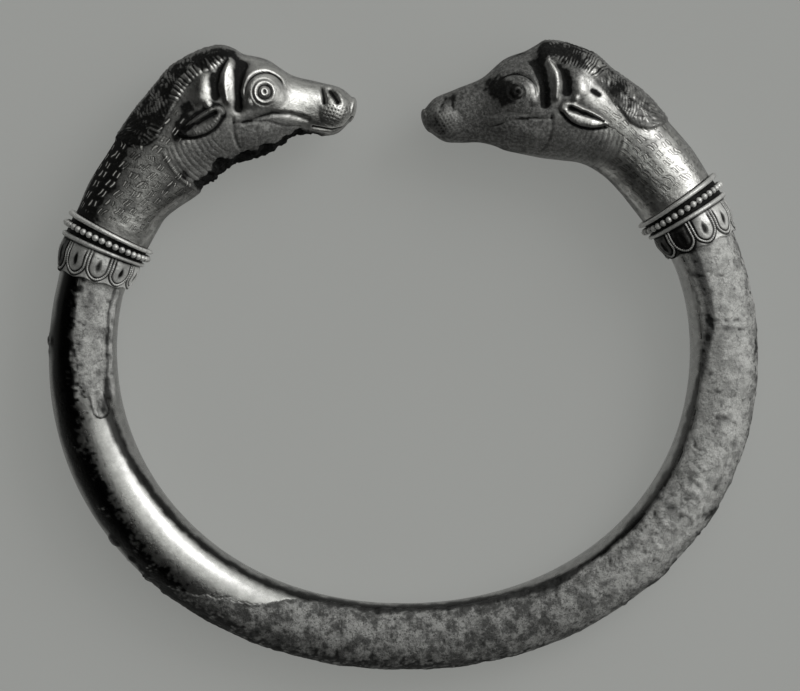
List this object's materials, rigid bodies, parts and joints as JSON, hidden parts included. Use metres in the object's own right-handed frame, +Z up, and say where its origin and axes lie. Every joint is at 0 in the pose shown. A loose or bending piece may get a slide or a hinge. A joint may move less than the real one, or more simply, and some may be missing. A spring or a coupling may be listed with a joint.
{
  "type": "animal-head bracelet",
  "caption": "Open metal bracelet of thick round rod with calf-like animal heads facing each other, on beaded and tongued collars.",
  "frame": {"origin": "centre of the bounding box in plan, on the surface that the bracelet lies on", "axes": "+Z up from the surface it lies on, +X across the hoop's width towards the right head, +Y towards the gap between the muzzles"},
  "size_m": [0.0796, 0.0708, 0.0111],
  "materials": {
    "polished_silver": "worn polish, dark tarnish in the carving",
    "crusted_silver": "polished bands with a dull, pitted corrosion crust"
  },
  "bodies": {
    "root": {"hoop": "crusted_silver", "left_head": "polished_silver", "left_collar": "polished_silver", "left_beaded_wire": "polished_silver", "right_head": "polished_silver", "right_collar": "polished_silver", "right_beaded_wire": "polished_silver"}
  },
  "joints": []
}
